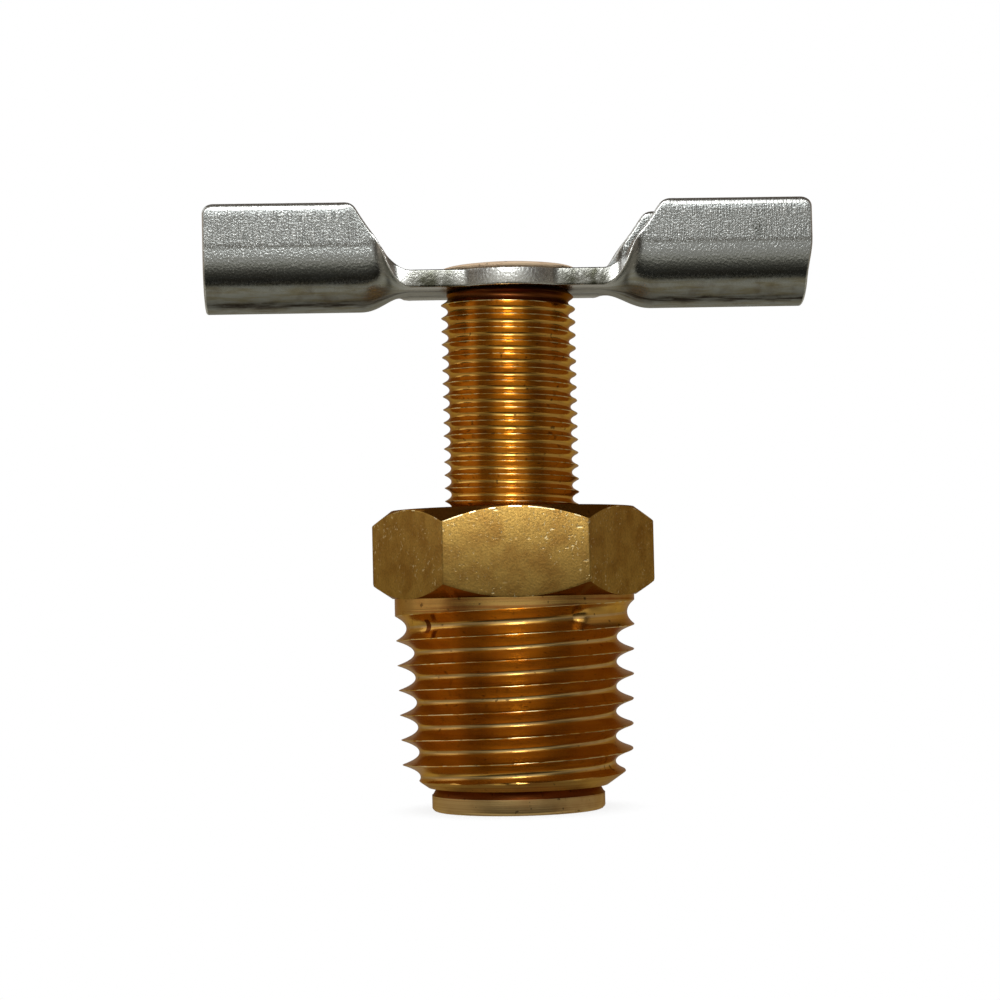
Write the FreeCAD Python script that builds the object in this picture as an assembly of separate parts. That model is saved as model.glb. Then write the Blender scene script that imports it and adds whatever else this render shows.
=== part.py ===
# Drain cock with an external seat, 1/4-18 pipe thread, closed.
#
# Three pieces, as on the bench: a brass hex body with a tapered pipe nipple, a hollow brass stem
# whose head closes against the lower end of the body, and a folded steel wing handle that the
# stem's rolled upper end holds. The stem has a left-hand thread, so turning the handle
# anticlockwise lowers the head off its seat. Water then passes the seat, enters the cross ports in
# the stem's neck and leaves through the stem's bore at the top.
#
# Units are millimetres. The origin is the centre of the head's underside, +Z runs up the stem and
# +X along the wings. The screw threads are left plain here, at the diameter over their crests.
import FreeCAD, Part
import math
import os

# Stem: the head that closes the body, its neck and its threaded shank
HEAD_RIM_HEIGHT = 0.9
HEAD_EDGE_BREAK = 0.15
HEAD_LEDGE = 0.03
SEAT_HALF_ANGLE = 30.0
NECK_DIAMETER = 6.2
NECK_LENGTH = 2.2
STEM_THREAD_DIAMETER = 7.8
STEM_EXPOSED_LENGTH = 12.45
STEM_TOP_BREAK = 0.4
BORE_DIAMETER = 3.2
BORE_POINT_ANGLE = 118.0
BORE_OVERRUN = 0.5
PORT_DIAMETER = 2.0

# Stem: the upper end, rolled over the handle
SPIGOT_DIAMETER = 5.8
ROLLED_HEAD_DIAMETER = 8.0
ROLLED_HEAD_HEIGHT = 0.4
ROLLED_UNDER_BREAK = 0.12
ROLLED_TOP_BREAK = 0.22
ROLLED_MOUTH_DIAMETER = 4.6
ROLLED_MOUTH_DEPTH = 0.9

# Body: the tapered nipple, the collar where its thread runs out, and the hexagon
BODY_GAP = 0.45
END_FACE_WIDTH = 0.26
END_CHAMFER_ANGLE = 35.0
PIPE_SMALL_DIAMETER = 13.1
PIPE_TAPER = 1.0 / 16.0
PIPE_THREAD_LENGTH = 9.65
COLLAR_HEIGHT = 1.1
HEX_ACROSS_FLATS = 14.0
HEX_HEIGHT = 5.0
HEX_CHAMFER_DIAMETER = 13.9
HEX_CHAMFER_ANGLE = 36.0
SEAT_WIDTH = 0.49
CHAMBER_DEPTH = 5.6
HOLE_MOUTH_BREAK = 0.35

# Handle: one strip of sheet with a disc at its middle and a wing folded up at each end
SHEET = 1.0
HANDLE_LENGTH = 34.5
DISC_DIAMETER = 8.2
STRIP_WIDTH = 6.5
WING_WIDTH = 5.8
WING_HEIGHT = 5.95
WING_DROP = 1.0
FOLD_START = 5.8
FOLD_LENGTH = 2.0
DROP_START = 6.3
DROP_LENGTH = 2.0
SHOULDER_START = 6.72
SHOULDER_ANGLE = 59.0
SHOULDER_FILLET = 0.9
WING_INNER_CORNER = 0.8
WING_OUTER_CORNER = 0.6
# Degrees that the wings stand round from the hexagon's flats
HANDLE_TURN = 2.2

# Clearances between the pieces
THREAD_CLEARANCE = 0.05
CHAMBER_CLEARANCE = 0.3
SEAT_CLEARANCE = 0.04
SPIGOT_CLEARANCE = 0.05
HANDLE_PLAY = 0.03

# How finely the folded sheet is followed, across and along the handle
SHEET_POINTS = 17
FOLD_STATIONS = 17

# Radii that follow from the stem's thread: it passes the chamber, which the seat and the head close
SEAT_SLOPE = math.tan(math.radians(SEAT_HALF_ANGLE))
THREAD_RADIUS = STEM_THREAD_DIAMETER / 2
CHAMBER_RADIUS = THREAD_RADIUS + CHAMBER_CLEARANCE
SEAT_RADIUS = CHAMBER_RADIUS + SEAT_WIDTH
CONE_RADIUS = SEAT_RADIUS - SEAT_CLEARANCE / math.cos(math.radians(SEAT_HALF_ANGLE)) + BODY_GAP * SEAT_SLOPE
HEAD_RADIUS = CONE_RADIUS + HEAD_LEDGE
NECK_RADIUS = NECK_DIAMETER / 2

# Levels up the stem that the pieces share
BODY_END = HEAD_RIM_HEIGHT + BODY_GAP
COLLAR_BOTTOM = BODY_END + PIPE_THREAD_LENGTH
HEX_BOTTOM = COLLAR_BOTTOM + COLLAR_HEIGHT
HEX_TOP = HEX_BOTTOM + HEX_HEIGHT
HANDLE_UNDERSIDE = HEX_TOP + STEM_EXPOSED_LENGTH
HANDLE_TOP = HANDLE_UNDERSIDE + SHEET
NECK_BOTTOM = HEAD_RIM_HEIGHT + (CONE_RADIUS - NECK_RADIUS) / SEAT_SLOPE
NECK_TOP = NECK_BOTTOM + NECK_LENGTH

# The folded sheet, measured along its middle layer
FOLD_RADIUS = (WING_WIDTH - SHEET) / 2
FOLD_ARC = FOLD_RADIUS * math.pi / 2
WING_HALF_WIDTH = FOLD_ARC + WING_HEIGHT - WING_WIDTH / 2

# Where the blank's outline changes along the handle, from the flat strip out to the full wing
SHOULDER_SLOPE = math.radians(SHOULDER_ANGLE)
SHOULDER_END = SHOULDER_START + (WING_HALF_WIDTH - STRIP_WIDTH / 2) / math.tan(SHOULDER_SLOPE)
FILLET_START = SHOULDER_START - SHOULDER_FILLET * math.tan(SHOULDER_SLOPE / 2)
FILLET_END = FILLET_START + SHOULDER_FILLET * math.sin(SHOULDER_SLOPE)
CORNER_END = SHOULDER_END + WING_INNER_CORNER * math.tan(SHOULDER_SLOPE / 2)
CORNER_START = CORNER_END - WING_INNER_CORNER * math.sin(SHOULDER_SLOPE)

TOLERANCE = 1e-3
UP = FreeCAD.Vector(0, 0, 1)
CENTRE = FreeCAD.Vector(0, 0, 0)


def turned(profile):
    """A turned solid from a closed list of (radius, height) corners."""
    corners = [FreeCAD.Vector(r, 0, z) for r, z in profile]
    face = Part.Face(Part.makePolygon(corners + corners[:1]))
    return face.revolve(CENTRE, UP, 360)


def hexagon():
    """The spanner hexagon, flats to front and back, both ends turned to a blunt cone."""
    corner_radius = HEX_ACROSS_FLATS / math.sqrt(3)
    corners = []
    for step in range(7):
        angle = math.radians(60 * step)
        x = corner_radius * math.cos(angle)
        y = corner_radius * math.sin(angle)
        corners.append(FreeCAD.Vector(x, y, HEX_BOTTOM))
    prism = Part.Face(Part.makePolygon(corners)).extrude(UP * HEX_HEIGHT)
    reach = corner_radius + 1
    rise = (reach - HEX_CHAMFER_DIAMETER / 2) * math.tan(math.radians(HEX_CHAMFER_ANGLE))
    envelope = turned([
        (0, HEX_BOTTOM),
        (HEX_CHAMFER_DIAMETER / 2, HEX_BOTTOM),
        (reach, HEX_BOTTOM + rise),
        (reach, HEX_TOP - rise),
        (HEX_CHAMFER_DIAMETER / 2, HEX_TOP),
        (0, HEX_TOP),
    ])
    return prism.common(envelope)


def nipple():
    """The tapered pipe nipple with its end chamfer, and the collar under the hexagon."""
    end_radius = SEAT_RADIUS + END_FACE_WIDTH
    small_radius = PIPE_SMALL_DIAMETER / 2
    chamfer_slope = math.tan(math.radians(END_CHAMFER_ANGLE))
    radial_taper = PIPE_TAPER / 2
    chamfer_rise = (small_radius - end_radius) * chamfer_slope / (1 - radial_taper * chamfer_slope)
    collar_radius = small_radius + PIPE_THREAD_LENGTH * radial_taper
    return turned([
        (0, BODY_END),
        (end_radius, BODY_END),
        (small_radius + chamfer_rise * radial_taper, BODY_END + chamfer_rise),
        (collar_radius, COLLAR_BOTTOM),
        (collar_radius, HEX_BOTTOM),
        (0, HEX_BOTTOM),
    ])


def body_passage():
    """What is bored out of the body: the seat, the chamber round the neck and the stem's hole."""
    hole_radius = THREAD_RADIUS + THREAD_CLEARANCE
    chamber_top = BODY_END + CHAMBER_DEPTH
    return turned([
        (0, BODY_END),
        (SEAT_RADIUS, BODY_END),
        (CHAMBER_RADIUS, BODY_END + SEAT_WIDTH / SEAT_SLOPE),
        (CHAMBER_RADIUS, chamber_top),
        (hole_radius, chamber_top + CHAMBER_RADIUS - hole_radius),
        (hole_radius, HEX_TOP - HOLE_MOUTH_BREAK),
        (hole_radius + HOLE_MOUTH_BREAK, HEX_TOP),
        (0, HEX_TOP),
    ])


def body():
    """The brass body, turned from hexagon bar."""
    return nipple().fuse(hexagon()).cut(body_passage()).removeSplitter()


def rolled_head():
    """The stem's upper end, rolled out over the handle, its rim blunted below and above."""
    under = HANDLE_TOP + HANDLE_PLAY
    top = under + ROLLED_HEAD_HEIGHT
    rim = ROLLED_HEAD_DIAMETER / 2
    return turned([
        (0, under),
        (rim - ROLLED_UNDER_BREAK, under),
        (rim, under + ROLLED_UNDER_BREAK),
        (rim, top - ROLLED_TOP_BREAK),
        (rim - ROLLED_TOP_BREAK, top),
        (0, top),
    ])


def stem_bore():
    """The bore down the stem from its flared mouth, and the cross ports at its neck."""
    radius = BORE_DIAMETER / 2
    top = HANDLE_TOP + HANDLE_PLAY + ROLLED_HEAD_HEIGHT
    port_level = (NECK_BOTTOM + NECK_TOP) / 2
    bottom = port_level - PORT_DIAMETER / 2 - BORE_OVERRUN
    point = bottom - radius / math.tan(math.radians(BORE_POINT_ANGLE / 2))
    bore = turned([
        (0, point),
        (radius, bottom),
        (radius, top - ROLLED_MOUTH_DEPTH),
        (ROLLED_MOUTH_DIAMETER / 2, top),
        (0, top),
    ])
    start = FreeCAD.Vector(-NECK_DIAMETER, 0, port_level)
    port = Part.makeCylinder(PORT_DIAMETER / 2, 2 * NECK_DIAMETER, start, FreeCAD.Vector(1, 0, 0))
    return bore.fuse(port)


def stem():
    """The hollow brass stem with its head, turned from round bar."""
    shoulder = HANDLE_UNDERSIDE - HANDLE_PLAY
    shank = turned([
        (0, 0),
        (HEAD_RADIUS - HEAD_EDGE_BREAK, 0),
        (HEAD_RADIUS, HEAD_EDGE_BREAK),
        (HEAD_RADIUS, HEAD_RIM_HEIGHT),
        (CONE_RADIUS, HEAD_RIM_HEIGHT),
        (NECK_RADIUS, NECK_BOTTOM),
        (NECK_RADIUS, NECK_TOP),
        (THREAD_RADIUS, NECK_TOP + THREAD_RADIUS - NECK_RADIUS),
        (THREAD_RADIUS, shoulder - STEM_TOP_BREAK),
        (THREAD_RADIUS - STEM_TOP_BREAK, shoulder),
        (SPIGOT_DIAMETER / 2, shoulder),
        (SPIGOT_DIAMETER / 2, HANDLE_TOP + HANDLE_PLAY),
        (0, HANDLE_TOP + HANDLE_PLAY),
    ])
    return shank.fuse(rolled_head()).cut(stem_bore()).removeSplitter()


def half_width(x):
    """Half the flat blank's width at x: strip, hollow fillet, sloping shoulder, rounded corner, wing."""
    strip = STRIP_WIDTH / 2
    if x <= FILLET_START:
        return strip
    if x < FILLET_END:
        run = x - FILLET_START
        return strip + SHOULDER_FILLET - math.sqrt(SHOULDER_FILLET**2 - run**2)
    if x <= CORNER_START:
        return strip + (x - SHOULDER_START) * math.tan(SHOULDER_SLOPE)
    if x < CORNER_END:
        run = CORNER_END - x
        return WING_HALF_WIDTH - WING_INNER_CORNER + math.sqrt(WING_INNER_CORNER**2 - run**2)
    return WING_HALF_WIDTH


def eased(x, start, length):
    """A smooth rise from 0 to 1 over a length from a start."""
    share = min(max((x - start) / length, 0), 1)
    return share * share * (3 - 2 * share)


def folded(x, along, offset):
    """A point of the folded sheet at x, so far along from its middle line, offset from its middle layer."""
    fold = eased(x, FOLD_START, FOLD_LENGTH)
    level = HANDLE_UNDERSIDE + SHEET / 2 - WING_DROP * eased(x, DROP_START, DROP_LENGTH)
    if fold == 0:
        return FreeCAD.Vector(x, along, level + offset)
    radius = FOLD_RADIUS / fold
    angle = min(abs(along), FOLD_ARC) / radius
    straight = max(abs(along) - FOLD_ARC, 0)
    y = (radius - offset) * math.sin(angle) + straight * math.cos(angle)
    z = radius - (radius - offset) * math.cos(angle) + straight * math.sin(angle)
    return FreeCAD.Vector(x, math.copysign(y, along), level + z)


def sheet_section(x):
    """Closed outline of the folded sheet at x: underside, edge, upper side, edge."""
    width = half_width(x)
    shares = [step / (SHEET_POINTS - 1) for step in range(SHEET_POINTS)]
    sides = []
    for offset in (-SHEET / 2, SHEET / 2):
        curve = Part.BSplineCurve()
        places = [folded(x, width * (2 * share - 1), offset) for share in shares]
        curve.interpolate(Points=places, Parameters=shares)
        sides.append(curve.toShape())
    under, upper = sides
    edges = [
        under,
        Part.makeLine(under.Vertexes[-1].Point, upper.Vertexes[-1].Point),
        upper,
        Part.makeLine(upper.Vertexes[0].Point, under.Vertexes[0].Point),
    ]
    return Part.Wire(edges)


def wing():
    """The wing towards +X: the sheet folds up out of the strip and runs on as a trough."""
    run = CORNER_END - FOLD_START
    stations = [FOLD_START + run * step / (FOLD_STATIONS - 1) for step in range(FOLD_STATIONS)]
    fold = Part.makeLoft([sheet_section(x) for x in stations], True, True)
    tip = HANDLE_LENGTH / 2
    trough = Part.Face(sheet_section(CORNER_END)).extrude(FreeCAD.Vector(tip - CORNER_END, 0, 0))
    wing_top = HANDLE_UNDERSIDE - WING_DROP + WING_HEIGHT
    corners = []
    for edge in trough.Edges:
        box = edge.BoundBox
        if box.XMin > tip - TOLERANCE and box.ZMin > wing_top - TOLERANCE:
            corners.append(edge)
    return fold.fuse(trough.makeFillet(WING_OUTER_CORNER, corners))


def wing_handle():
    """The steel wing handle: a strip with a disc at its middle and a wing at each end, pierced."""
    base = FreeCAD.Vector(0, 0, HANDLE_UNDERSIDE)
    corner = FreeCAD.Vector(-FOLD_START, -STRIP_WIDTH / 2, HANDLE_UNDERSIDE)
    strip = Part.makeBox(2 * FOLD_START, STRIP_WIDTH, SHEET, corner)
    disc = Part.makeCylinder(DISC_DIAMETER / 2, SHEET, base)
    hole = Part.makeCylinder(SPIGOT_DIAMETER / 2 + SPIGOT_CLEARANCE, SHEET, base)
    right = wing()
    left = right.rotated(CENTRE, UP, 180)
    handle = strip.fuse([disc, right, left]).cut(hole).removeSplitter()
    return handle.rotated(CENTRE, UP, HANDLE_TURN)


def main():
    """Builds each piece and writes it to its own file."""
    os.makedirs("parts", exist_ok=True)
    pieces = {"body": body(), "stem": stem(), "wing_handle": wing_handle()}
    for name, shape in pieces.items():
        solids = shape.Solids
        print(name, "solids", len(solids), "valid", shape.isValid(), "volume", round(shape.Volume, 2))
        solids[0].exportStep("parts/" + name + ".step")


main()
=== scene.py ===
"""Drain cock: a brass body and stem with cut threads and a folded steel wing handle, on a pale floor.

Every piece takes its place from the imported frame, in metres. The brass pieces are grown ring by ring
round the stem's axis, their threads follow a true helix, and the handle is a flat blank that is
folded by the same rule as the CAD solid.
"""
import math

import bpy
from mathutils import Matrix, Vector, noise


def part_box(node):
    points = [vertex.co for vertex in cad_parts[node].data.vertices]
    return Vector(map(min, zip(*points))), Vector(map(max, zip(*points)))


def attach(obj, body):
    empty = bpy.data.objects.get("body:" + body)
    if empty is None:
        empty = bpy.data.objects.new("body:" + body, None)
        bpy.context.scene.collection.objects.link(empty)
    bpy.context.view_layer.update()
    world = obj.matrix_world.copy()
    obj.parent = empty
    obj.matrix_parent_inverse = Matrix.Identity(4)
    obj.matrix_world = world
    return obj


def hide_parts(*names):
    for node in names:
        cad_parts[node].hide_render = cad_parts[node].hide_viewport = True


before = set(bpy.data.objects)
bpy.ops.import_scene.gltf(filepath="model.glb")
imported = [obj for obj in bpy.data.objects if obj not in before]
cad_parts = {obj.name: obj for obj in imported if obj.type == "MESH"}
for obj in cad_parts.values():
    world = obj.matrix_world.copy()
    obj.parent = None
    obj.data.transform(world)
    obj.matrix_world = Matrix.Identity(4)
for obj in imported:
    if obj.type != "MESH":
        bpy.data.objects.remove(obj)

bl_info = {
    "name": "Drain cock",
    "version": (1, 0, 0),
    "blender": (4, 5, 0),
    "location": "3D View > Sidebar > Drain cock",
    "description": "Builds the visual pieces of a wing-handled brass drain cock on its packed frame",
    "category": "Object",
}

MM = 0.001
TURN = 2 * math.pi
RIGHT_HAND = 1
LEFT_HAND = -1
# The dies were worn: a groove is a round hollow with a sharp crest, and this is the power of its flank.
HOLLOW = 2.1
# Where the chasers of the die stopped: share of the groove's depth by degrees before its end.
RUN_OUT = (
    (-192, 0.0), (-170, 0.2), (-100, 0.2), (-84, 0.42), (-3, 0.42), (2, 0.8),
    (83, 0.8), (89, 0.62), (170, 0.62), (235, 1.0),
)
# Two of those stops are painted with dark ticks as painted shade where the groove steps: degrees before the
# end, half width, and the share they start at.
CHASER_STOPS = ((0, 0.9, 0.4), (86, 0.8, 0.56))
# A face this near the end chamfer's radius belongs to it, and one with less groove than this to the collar.
CHAMFER_NEAR = 0.03 * MM
COLLAR_SHARE = 0.1
# Painted shadow of the handle's disc, dark brown along a ragged line under the stem's shoulder: how far
# down, how ragged and how close.
SHADOW_LINE = 0.6
SHADOW_WANDER = 0.6
SHADOW_SPREAD = 0.4 / MM
# A thread's row that comes this near its end joins it.
SNAP = 0.004 * MM
# Torn crests: how the tears come and go round the axis and from turn to turn, their seed and their depth.
PIPE_RAG = (30, 7.3, 0.5, 0.04 * MM)
STEM_RAG = (20, 3.1, 2.5, 0.03 * MM)
# Burnished stretches of a crest: how they come and go round the axis and from turn to turn, and how many.
BURNISH_ROUND = 14
BURNISH_TURNS = 1.7
BURNISH_LEVEL = -0.12
# Rows of a thread's flank.
PIPE_FLANK_ROWS = 9
STEM_FLANK_ROWS = 5
# Painted glint in specks along the hexagon's upper edge: how close they lie, and how few they are.
GLINT_SPECKS = 2.2 / MM
GLINT_SPECK_LEVEL = 0.12
# Steps of a hexagon's half edge rounding and of its flat.
EDGE_STEPS = 4
FLAT_STEPS = 22
# The stem's steps round the axis. A drill's own are turned a little, so that no edges fall together.
STEM_STEPS = 120
DRILL_STEPS = 48
DRILL_TURN = 0.37
# Faces that meet more sharply than this show an edge.
SHARP_BRASS = math.radians(34)
SHARP_SHEET = math.radians(40)

# Cuts of one wing that leave the pattern, each as a start and a run along the wing or across it.
REAR_SHARE = 0.6
REAR_RUN = 1.5 * MM
SKEW_RISE = (5.6 * MM, 1.2 * MM)
SKEW_FADE = (9 * MM, 6 * MM)
FOOT_RISE = (4.4 * MM, 1.6 * MM)
FOOT_END = 9.6 * MM
FOOT_FADE = 3.6 * MM
BOW_RISE = (13 * MM, 4.2 * MM)
BOW_FADE = (2.2 * MM, 2.4 * MM)
# Where along a wing the sheet's edge begins to be rolled over, and over what run.
ROLL_RISE = (8.2 * MM, 1.5 * MM)
# Rows of faces across the blank, and steps along its arcs, straight edges and quarter-round lips.
BLANK_ROWS = 36
DISC_STEPS = 10
HOLLOW_STEPS = 6
CORNER_STEPS = 10
STRIP_STEPS = 12
SLOPE_STEPS = 18
WING_STEPS = 24
LIP_STEPS = 4
# Where the plate is pitted, in millimetres out from the axis and down from the front edge.
PIT_OUT = 14.2
PIT_DOWN = 1.8

# How far a turning line runs round the axis before it fades into the next.
RING_RUN = 50 / 3 * MM
# Brass keeps its warm colour where it is seen at a low angle.
BRASS_EDGE = "#E0C8A8"
DIRT_SPECK = "#3A2410"
OLIVE_FLECK = "#7E6A3A"
BRIGHT_ZINC = "#E2E4E2"
GREY_ZINC = "#6C6F6D"
BROWN_BLOT = "#5B4A30"
DARK_BEND_LINE = "#33291F"
PITTED_STEEL = "#33372C"
TENT_BACK = "#FFECDA"
TENT_FRONT = "#FFFAF3"

# Half the width of the floor.
FLOOR_REACH = 0.5
# The strip light over the camera: its sizes, and where it stands from the object's middle.
LAMP_WIDTH = 42 * MM
LAMP_HEIGHT = 140 * MM
LAMP_DISTANCE = 200 * MM
LAMP_RISE = math.radians(40)
OBJECT_MIDDLE = Vector((0, 0, 17 * MM))
# The tent and the bowl below it meet here, in degrees above the level of the object's middle.
TENT_FOOT = -3
DOME_ROWS = 16
DOME_COLUMNS = 36
# The tent's openings in degrees: their rises, how far to either side in front, and where at the left.
OPEN_RISES = (22, 60)
OPEN_FRONT = 27
OPEN_LEFT = (-130, -80)
# The tent's grey, how far round its darker strip is, its darker right and roof, and its paler sides, each
# as an axis, where the side starts and is full, and how much paler it is.
TENT_GREY = 0.31
TENT_ASKEW = 0.6
TENT_RIGHT = (0.77, -0.64, 0)
TENT_ROOF = (0, 0.45, 1)
TENT_SIDES = (("Y", -0.78, -0.97, 0.27), ("Y", 0.78, 0.97, 0.04), ("X", -0.86, -0.99, 0.25))
# Greys that the metal sees below it, by degrees down from straight ahead and round to behind.
GREYS_BELOW = (
    (0, 0.6), (4, 0.56), (8, 0.4), (13, 0.22), (23, 0.12), (32, 0.06), (46, 0.025), (57, 0.03),
    (60, 0.36), (80, 0.5), (96, 0.36), (107, 0.16), (117, 0.16), (133, 0.42), (160, 0.4), (180, 0.31),
)
WARM_GREY = (1, 0.95, 0.8)
SIDE_BELOW = (0.28, 0.25, 0.2, 1)
# The photograph's frame, the row level with the eye and the column of the stem's axis, in pixels.
PIXELS = 1000
LEVEL_ROW = 595
AXIS_COLUMN = 512.2

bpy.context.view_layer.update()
BODY_LOW, BODY_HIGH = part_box("body")
STEM_LOW, STEM_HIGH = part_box("stem")
HANDLE_LOW, HANDLE_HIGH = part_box("wing_handle")


def length(name, description, default):
    """A length that a user may set, in metres."""
    return bpy.props.FloatProperty(
        name=name, description=description, default=default, unit="LENGTH", precision=6)


def angle(name, description, degrees):
    """An angle that a user may set, given here in degrees."""
    return bpy.props.FloatProperty(
        name=name, description=description, default=math.radians(degrees), subtype="ANGLE")


def colour(name, description, default):
    """A colour that a user may set, as an sRGB hex value."""
    return bpy.props.StringProperty(name=name, description=description, default=default)


class BodySizes(bpy.types.PropertyGroup):
    """Sizes of the brass body."""
    pipe_pitch: length("Pipe pitch", "Pitch of the tapered pipe thread", 25.4 / 18 * MM)
    pipe_depth: length("Pipe depth", "Depth of the pipe thread's groove", 1.0 * MM)
    pipe_lift: length("Pipe lift", "How far the thread's rows are raised", 0.53 * MM)
    pipe_small: length("Small diameter", "Diameter over the crests at the lower end", 13.1 * MM)
    pipe_length: length("Pipe length", "Height of the tapered stretch", 9.65 * MM)
    pipe_end: angle("Groove end", "Where round the body the groove stops, from +X", 303)
    collar_height: length("Collar height", "Plain turned band under the hexagon", 1.1 * MM)
    end_angle: angle("End chamfer", "Slope of the lower end's chamfer", 35)
    end_face: length("End face", "Outer radius of the lower end face", 5.15 * MM)
    hex_chamfer: length("Hexagon chamfer", "Diameter where the hexagon's blunt cones start", 13.9 * MM)
    hex_angle: angle("Hexagon cone", "Slope of the hexagon's blunt cones", 36)
    hex_edge: length("Hexagon edge", "Rounding of the drawn bar's six edges", 0.16 * MM)
    hole: length("Hole", "Radius of the hole that the stem turns in", 3.95 * MM)
    hole_break: length("Hole break", "Bevel at the hole's upper mouth", 0.35 * MM)
    chamber: length("Chamber", "Radius of the chamber round the stem's neck", 4.2 * MM)
    chamber_depth: length("Chamber depth", "Height of the chamber from the lower end", 5.6 * MM)
    seat: length("Seat", "Radius of the seat at the lower end", 4.69 * MM)
    seat_height: length("Seat height", "Height of the seat's cone", 0.85 * MM)


class StemSizes(bpy.types.PropertyGroup):
    """Sizes of the brass stem."""
    pitch: length("Pitch", "Pitch of the stem's left-hand thread", 0.75 * MM)
    depth: length("Depth", "Depth of the stem's thread", 0.39 * MM)
    thread: length("Thread radius", "Radius over the crests", 3.86 * MM)
    rim: length("Rim", "Height of the head's rim", 0.9 * MM)
    rim_break: length("Rim break", "Bevel at the head's lower edge", 0.15 * MM)
    cone: length("Cone radius", "Radius of the sealing cone at the rim", 4.9 * MM)
    neck: length("Neck radius", "Radius of the plain neck", 3.1 * MM)
    neck_bottom: length("Neck bottom", "Height where the cone meets the neck", 4.02 * MM)
    neck_length: length("Neck length", "Length of the plain neck", 2.2 * MM)
    top_break: length("Top break", "Bevel at the thread's upper end", 0.4 * MM)
    spigot: length("Spigot", "Radius of the spigot through the handle", 2.9 * MM)
    roll: length("Roll", "Radius of the rolled upper end", 4.0 * MM)
    roll_height: length("Roll height", "Height of the rolled upper end", 0.4 * MM)
    shoulder: length("Shoulder", "Height of the thread's upper end above the wings' underside", 0.97 * MM)
    bore: length("Bore", "Radius of the drain bore", 1.6 * MM)
    port: length("Port", "Radius of the cross ports in the neck", 1.0 * MM)


class HandleSizes(bpy.types.PropertyGroup):
    """Sizes of the folded wing handle."""
    sheet: length("Sheet", "Thickness of the steel sheet", 1.0 * MM)
    reach: length("Reach", "From the axis to a wing's end", 17.25 * MM)
    turn: angle("Turn", "How far the handle stands round from the hexagon", 2.2)
    edge: length("Wing edge", "Rounding of the wings' edges", 0.42 * MM)
    strip_edge: length("Strip edge", "Rounding of the strip's edges", 0.12 * MM)
    strip: length("Strip", "Half the width of the flat strip", 3.25 * MM)
    disc: length("Disc", "Radius of the disc at the middle", 4.1 * MM)
    disc_fillet: length("Disc fillet", "Hollow corner between disc and strip", 0.8 * MM)
    wing_width: length("Wing width", "Width over a wing's two flanks", 5.8 * MM)
    drop: length("Drop", "How far a wing's trough hangs below the strip", 1.0 * MM)
    fold_start: length("Fold start", "Where the fold begins, from the axis", 5.5 * MM)
    fold_length: length("Fold length", "Length over which the sheet folds up", 2.4 * MM)
    drop_start: length("Drop start", "Where the trough begins to sink, from the axis", 5.3 * MM)
    drop_length: length("Drop length", "Length over which the trough sinks", 3.3 * MM)
    shoulder: length("Shoulder", "Where the sloping shoulder leaves the strip", 6.72 * MM)
    shoulder_angle: angle("Shoulder angle", "Slope of the shoulder on the flat blank", 59)
    shoulder_fillet: length("Shoulder fillet", "Hollow corner at the shoulder's foot", 0.9 * MM)
    inner_corner: length("Inner corner", "Rounding at the shoulder's top", 0.8 * MM)
    outer_corner: length("Outer corner", "Rounding at the wing's outer corner", 0.6 * MM)
    skew: length("Skew", "How far one rear shoulder was cut out of square", 0.5 * MM)
    foot_shift: length("Foot shift", "How far one shoulder's foot was cut nearer the disc", 0.42 * MM)
    bow: length("Bow", "How far one wing's end was cut hollow at the trough", 0.26 * MM)
    hole: length("Hole", "Radius of the hole for the stem's spigot", 2.95 * MM)


class Finishes(bpy.types.PropertyGroup):
    """Colours of the finishes, as sRGB hex values."""
    cut_brass: colour("Cut brass", "Brass of the threads as the die leaves it", "#E4B45C")
    turned_brass: colour("Turned brass", "Brass of the turned faces", "#D0A75F")
    # The head's own brass, also painted on the pipe thread's roots as a painted highlight.
    root_brass: colour("Root brass", "Bright brass of the pipe thread's roots and the head", "#E6C486")
    # Painted shade: a darker brown for the hexagon's cones.
    cone_shade_brass: colour("Cone shade brass", "Brown brass of the hexagon's blunt cones", "#94622E")
    drawn_brass: colour("Drawn brass", "Dull skin of the drawn hexagon bar", "#C09A50")
    drawn_brown: colour("Drawn brown", "Brown clouds in the hexagon's skin", "#96682E")
    bare_brass: colour("Bare brass", "Clean metal in nicks and along the threads' crests", "#EED9A4")
    # Also painted on the hexagon's upper bevel as a painted glint.
    rolled_brass: colour("Rolled brass", "Worked brass of the rolled end", "#FFE4C2")
    # Red-brown of the tarnish, also painted on the threads' up-facing flanks as painted shade.
    tarnish_and_shade: colour("Tarnish and painted shade", "Red-brown film that the cutting oil leaves", "#9E5822")
    # Painted shade: dark brown on the head's cone and neck, under the handle's disc and at the pipe
    # thread's steps.
    shade_brown: colour("Shade brown", "Dark brown where the oil dried in corners", "#784420")
    zinc: colour("Zinc", "Zinc plate on the handle", "#A0A4A2")
    sheared_zinc: colour("Sheared zinc", "Zinc plate on the sheared edges", "#E2E4E0")
    zinc_stain: colour("Zinc stain", "Passivation stain in the plate", "#8A846C")
    # Painted shade on the strip's straight sheared edges.
    edge_painted_shade: colour("Edge painted shade", "Dark film on the strip's sheared edges", "#5E5F52")
    floor: colour("Floor", "The pale floor", "#F4F4F2")


class StageSizes(bpy.types.PropertyGroup):
    """Camera and light of the stage."""
    distance: length("Distance", "From the camera to the stem's axis", 142 * MM)
    eye_height: length("Eye height", "Height of the camera above the floor", 12.2 * MM)
    azimuth: angle("Azimuth", "How far the camera stands to the left of the front", 1.2)
    roll: angle("Roll", "How far the camera is rolled", 1.25)
    view: angle("View", "Angle that the frame takes in", 22.8)
    tent: length("Tent", "Radius of the grey tent round the object", 450 * MM)
    key: bpy.props.FloatProperty(
        name="Key light", description="Power of the strip light", default=0.135, unit="POWER")


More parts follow.
